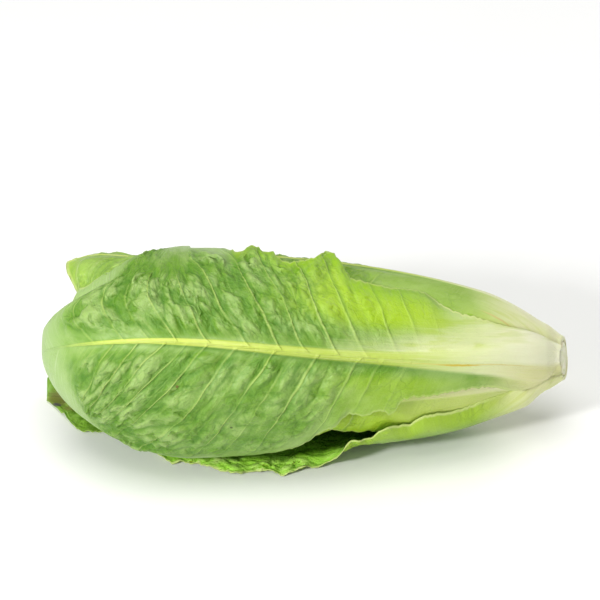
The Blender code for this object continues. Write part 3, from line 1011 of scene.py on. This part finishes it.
def leafMaterial(kind, marks=()):
    made, sheet = newMaterial(kind + "Leaf")
    mix, rise, fall = sheet.mix, sheet.rise, sheet.fall
    noise, cells, vector = sheet.noise, sheet.cells, sheet.vector
    tints = {part: paint(*tint) for part, tint in {**sharedColours, **leafColours[kind]}.items()}
    along, beside, leaf = sheet.parts(sheet.layer("chart"))
    phase, spacing, strength = sheet.parts(sheet.layer("lines"))
    ribPlace, edge, facing = sheet.parts(sheet.layer("cover"))
    relief, bright, pale = sheet.parts(sheet.layer("tone"))
    waxAndSheen, footTanAndShade, rimmed = sheet.parts(sheet.layer("tint"))
    crinkled = sheet.layer("crinkled", 2)
    crumple = sheet.layer("crumple", 2)
    off = abs(beside)
    flow = withVeins(sheet, along, beside, leaf)
    # waxy bloom over the fresh green in blotches, with a painted highlight of the bloom colour on raised
    # parts
    raisedHighlight = rise(relief + crinkled, 0.3, 3.6, -0.2, 0.2)
    bloomAndHighlight = rise(noise(flow, 0.05, 3.0, 0.6) + raisedHighlight * crumple, 0.3, 0.68)
    # a fresher green along the upper margin of the front leaf's middle part
    nearRim = fall(edge, 5.0, 17.0) * rimmed * (1 - facing) * rise(beside, 2.0, 8.0)
    nearRim = nearRim * rise(along, 66.0, 88.0) * rise(along, 176.0, 158.0) * rise(leaf, 10.0, 1.0)
    # painted shade in the sharp creases between the bumps and in the dents, and streaks that run with
    # the side veins
    folds, blisters, uneven, dents = crinkleFields(sheet, along, beside, phase, leaf)
    creaseShade = 1 - rise(folds, 0.0, 0.06) * rise(blisters, 0.0, 0.12, 1 - 0.8 * uneven, 1.0)
    creaseShade = (creaseShade + rise(dents, 1.0, crinkle["dented"], 0.0, 0.5)) * (1 - 0.5 * bright)
    creaseShade = creaseShade * rise(crumple, 0.05, 0.6)
    streaks = rise(noise(vector(phase * 9.0, off * 0.05, leaf), 1.0, 2.0, 0.6), 0.5, 0.75)
    # net of small veins
    wander = sheet.node("ShaderNodeTexNoise", {"noise_dimensions": "3D"},
                        {"Vector": flow, "Scale": 0.12, "Detail": 2.0}, output=1)
    bent = sheet.node("ShaderNodeVectorMath", {"operation": "ADD"},
                      {0: flow, 1: sheet.scaled(wander, 7.0)})
    bigNet = fall(cells(bent, 1 / 8.0), 0.01, 0.08)
    smallNet = fall(cells(bent, 1 / 3.2), 0.01, 0.14)
    leafy = fall(pale, 0.3, 0.8)
    seen = rise(noise(flow, 0.035, 1.0), 0.42, 0.6) * leafy
    # side veins, with a shade along their far sides
    fromVein = (phase + 0.5).math("FRACT") - 0.5
    toVein = abs(fromVein) * spacing
    thick = 0.38 + 0.5 * fall(off, 3.0, 45.0)
    broken = rise(noise(vector(phase * 0.9, off * 0.05, leaf), 1.0, 1.0), 0.36, 0.56)
    vein = fall(toVein / thick, 0.3, 1.3) * rise(strength, 0.15, 1.0) * (0.3 + 0.7 * broken) * leafy
    shade = fall(toVein, 0.5, 3.0) * rise(fromVein, 0.0, -0.04) * leafy * rise(strength, 0.2, 0.9)
    # pale foot
    fibres = noise(vector(along * 0.03, beside * 1.6, leaf), 1.0, 3.0, 0.6)
    washes = noise(vector(along * 0.05, beside * 0.22, leaf), 1.0)
    foot = rise(pale + (fibres - 0.5) * 0.3, 0.12, 1.0)
    yellow = rise(washes, 0.45, 0.65, 0.0, 0.35) + rise(bright, 0.1, 0.8, 0.0, 0.35)
    yellow = yellow + rise(along, 20.0, 50.0, 0.0, 0.4)
    # midrib, with a shade under it
    ribMask = fall(ribPlace + (fibres - 0.5) * 0.2, 0.7, 1.1)
    ribColour = mix(rise(along, 120.0, 200.0), tints["ribMiddle"], tints["rib"])
    ribColour = mix(rise(along, 100.0, 10.0), ribColour, tints["ribFoot"])
    ribColour = mix(rise(fibres, 0.45, 0.75) * 0.3, ribColour, tints["foot"])
    underRib = fall(ribPlace, 1.1, 2.3) * rise(ribPlace, 0.85, 1.15) * rise(beside, 0.0, -0.6)
    underRib = underRib * rise(along, 40.0, 110.0) * rise(along, 250.0, 190.0)
    # painted light: a bright band on the inner face by the pale-lined margins, standing in for light on
    # the thin rim
    paintedLitBand = fall(edge + bloomAndHighlight * 3.0, 12.0, 20.0) * rimmed * facing
    specks = fall(cells(flow, 0.05, "F1"), 0.012, 0.03) * leafy
    layers = [
        # from the bottom up: where the layer is, how far it covers those under it, its colour
        (rise(bright, 0.15, 0.95), 0.9, "bright"),
        (nearRim, 0.7, "nearRim"),
        (creaseShade, 0.5, "deep"),
        (streaks, 0.25, "vein"),
        (smallNet * seen, 0.08, "deep"),
        (bigNet * seen, 0.1, "deep"),
        (shade, 0.4, "deep"),
        (vein, 0.7, "vein"),
        (waxAndSheen, 0.85, mix(streaks * 0.6, tints["waxy"], tints["waxStreak"])),
        (foot, 1.0, mix(yellow, tints["foot"], tints["footYellow"])),
        (ribMask * rise(along, 285.0, 235.0), 0.9, ribColour),
        (underRib, 0.4, "deep"),
        (footTanAndShade, 0.75, mix(fibres, tints["footTanAndShade"], tints["beige"])),
        (facing * (1 - foot), 0.75, "inside"),
        (paintedLitBand, 1.0, mix(bloomAndHighlight, tints["band"], tints["bandBloom"])),
        (fall(edge, 0.5, 1.7) * rimmed, 0.75, "rim"),
        (specks, 0.7, "speck"),
    ]
    for number, inside, markAlong, markBeside, long, wide, strong, tint in marks:
        onFace = (facing if inside else 1 - facing) * rise(abs(leaf - leafGap * (number - 1)), 8.0, 1.0)
        ragged = noise(vector(along * 0.35, beside * 2.0, leaf), 1.0, 3.0, 0.6) - 0.5
        away = ((along - markAlong) / long) ** 2.0 + ((beside - markBeside) / wide + ragged * 1.2) ** 2.0
        layers.append((fall(away, 0.15, 1.1) * onFace, strong, paint(*tint)))
    colour = mix(bloomAndHighlight, tints["fresh"], tints["bloom"])
    for where, share, tint in layers:
        colour = mix(where * share, colour, tints.get(tint, tint))
    # fine relief in the shading
    grain = noise(flow, 0.9, 3.0, 0.6)
    fineCrease = abs(noise(flow, 0.28, 3.0, 0.55) - 0.5)
    bumps = (folds * 3.4 + blisters * uneven * 3.0) * dents + fineCrease * 2.6
    fine = grain * 0.35 - bigNet * 0.14 * seen + vein * 0.6 + bumps * crumple * leafy
    fine = fine + fibres * 0.5 * rise(foot + ribMask, 0.2, 1.0)
    rough = 0.44 - 0.08 * bloomAndHighlight + 0.1 * creaseShade + (grain - 0.5) * 0.15 - foot * 0.06
    sheet.finish({
        "Base Color": colour, "Roughness": rough, "Normal": sheet.bump(1.0, 0.75 * mm, fine),
        "Subsurface Weight": 0.1, "Subsurface Radius": (0.6, 1.0, 0.25), "Subsurface Scale": 0.002,
        "Specular IOR Level": 0.4, "Coat Weight": 0.0,
    })
    return made


def makeLeaves():
    tree = crinkleTree()
    finishes = {kind: leafMaterial(kind, leafMarks if kind == "wrapper" else ()) for kind in leafColours}
    for index in range(head["leafCount"]):
        plan = leafPlan(index)
        kind = leafKind(index)
        points, faces, carried = leafMesh(plan)
        mesh = meshFrom(plan["name"] + "_sheet", points.tolist(), faces.tolist())
        for layer, values in carried.items():
            carry(mesh, layer, values)
        name = plan["name"].replace("leaf", "romaine_leaf")
        piece = grown(name, mesh, tree, {**crinkleHeights, "Finish": finishes[kind]})
        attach(piece, "root")
        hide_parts(plan["name"])
        kind + "_leaf"
    print("leaves grown:", head["leafCount"])


# The stem core, seen at the cut end.

core = {"sides": 96, "faceRings": 16, "sideRings": 26, "inset": 0.1 * mm, "dent": 0.12 * mm}


def stemMaterial():
    made, sheet = newMaterial("stemFlesh")
    mix, rise, noise = sheet.mix, sheet.rise, sheet.noise
    radius = sheet.layer("coreRadius", 2)
    place = sheet.node("ShaderNodeTexCoord", None, None, output=3)
    mottled = noise(place, 260.0, 4.0, 0.6)
    fine = noise(place, 1400.0, 3.0, 0.6)
    colour = mix(rise(mottled, 0.35, 0.7), paint(238, 238, 208), paint(222, 226, 178))
    ring = rise(abs(radius - 6.6 + (mottled - 0.5) * 1.6), 0.9, 0.1)
    rim = rise(radius + (mottled - 0.5) * 2.0, 7.6, 9.6)
    rust = rise(noise(place, 120.0, 3.0, 0.7), 0.56, 0.72)
    for where, share, tint in ((ring, 0.45, paint(196, 204, 132)), (rim, 0.4, paint(206, 182, 128)),
                               (rust, 0.45, paint(196, 150, 92))):
        colour = mix(where * share, colour, tint)
    sheet.finish({
        "Base Color": colour, "Roughness": 0.38 + mottled * 0.2,
        "Normal": sheet.bump(0.5, 0.4 * mm, mottled * 0.6 + fine * 0.4),
        "Subsurface Weight": 0.15, "Subsurface Radius": (1.0, 0.8, 0.4), "Subsurface Scale": 0.003,
    })
    return made


def makeStem():
    # Turned core: the cut face is a disc of rings, a little dented, with a rounded rim.
    sides, length = core["sides"], head["coreLength"]
    turn = np.arange(sides) * 2 * math.pi / sides
    profile = [(0.0, share) for share in np.linspace(0.04, 0.93, core["faceRings"])]
    profile += [(0.15 * mm, 0.965), (0.5 * mm, 0.99), (1.1 * mm, 1.0)]
    profile += [(along, 1.0) for along in np.linspace(2.2 * mm, length - 1.5 * mm, core["sideRings"])]
    profile += [(length - 0.6 * mm, 0.75), (length - 0.1 * mm, 0.35)]
    rings, radii = [], []
    for along, share in profile:
        reach = coreRadius(along) * share
        dent = core["dent"] * np.sin(turn * 3 + 14 * share) * (along < core["inset"])
        place = np.maximum(along + core["inset"] + dent, 0)
        rings.append(placeOnHead(place, 0, np.full(sides, reach), turn))
        radii += [reach / mm] * sides
    for along in (core["inset"], length):
        rings.append(placeOnHead(np.array([along]), 0, np.zeros(1), np.zeros(1)))
        radii.append(0.0)
    points = np.concatenate(rings) - origin
    faceMiddle, farMiddle = len(points) - 2, len(points) - 1
    last = faceMiddle - sides
    faces = []
    for side in range(sides):
        after = (side + 1) % sides
        faces.append((faceMiddle, after, side))
        faces.append((farMiddle, last + side, last + after))
        for ring in range(0, last, sides):
            faces.append((ring + side, ring + after, ring + sides + after, ring + sides + side))
    mesh = meshFrom("romaine_stem", points.tolist(), faces)
    carry(mesh, "coreRadius", np.array(radii)[:, None])
    mesh.shade_smooth()
    mesh.materials.append(stemMaterial())
    piece = linked("romaine_stem", mesh)
    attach(piece, "root")
    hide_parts("stem")
    print("stem turned")


table = {"half": 3.0, "grain": 6.0, "dark": 0.94, "light": 0.97, "roughness": 0.7}


def makeFloor():
    half = table["half"]
    corners = [(-half, -half, 0), (half, -half, 0), (half, half, 0), (-half, half, 0)]
    mesh = meshFrom("floor", corners, [(0, 1, 2, 3)])
    made, sheet = newMaterial("paleTable")
    place = sheet.node("ShaderNodeTexCoord", None, None, output=3)
    shades = [(table[part],) * 3 + (1,) for part in ("dark", "light")]
    colour = sheet.mix(sheet.noise(place, table["grain"]), *shades)
    sheet.finish({"Base Color": colour, "Roughness": table["roughness"]})
    mesh.materials.append(made)
    floor = linked("floor", mesh)


setCamera()
setLights()
makeFloor()
makeLeaves()
makeStem()
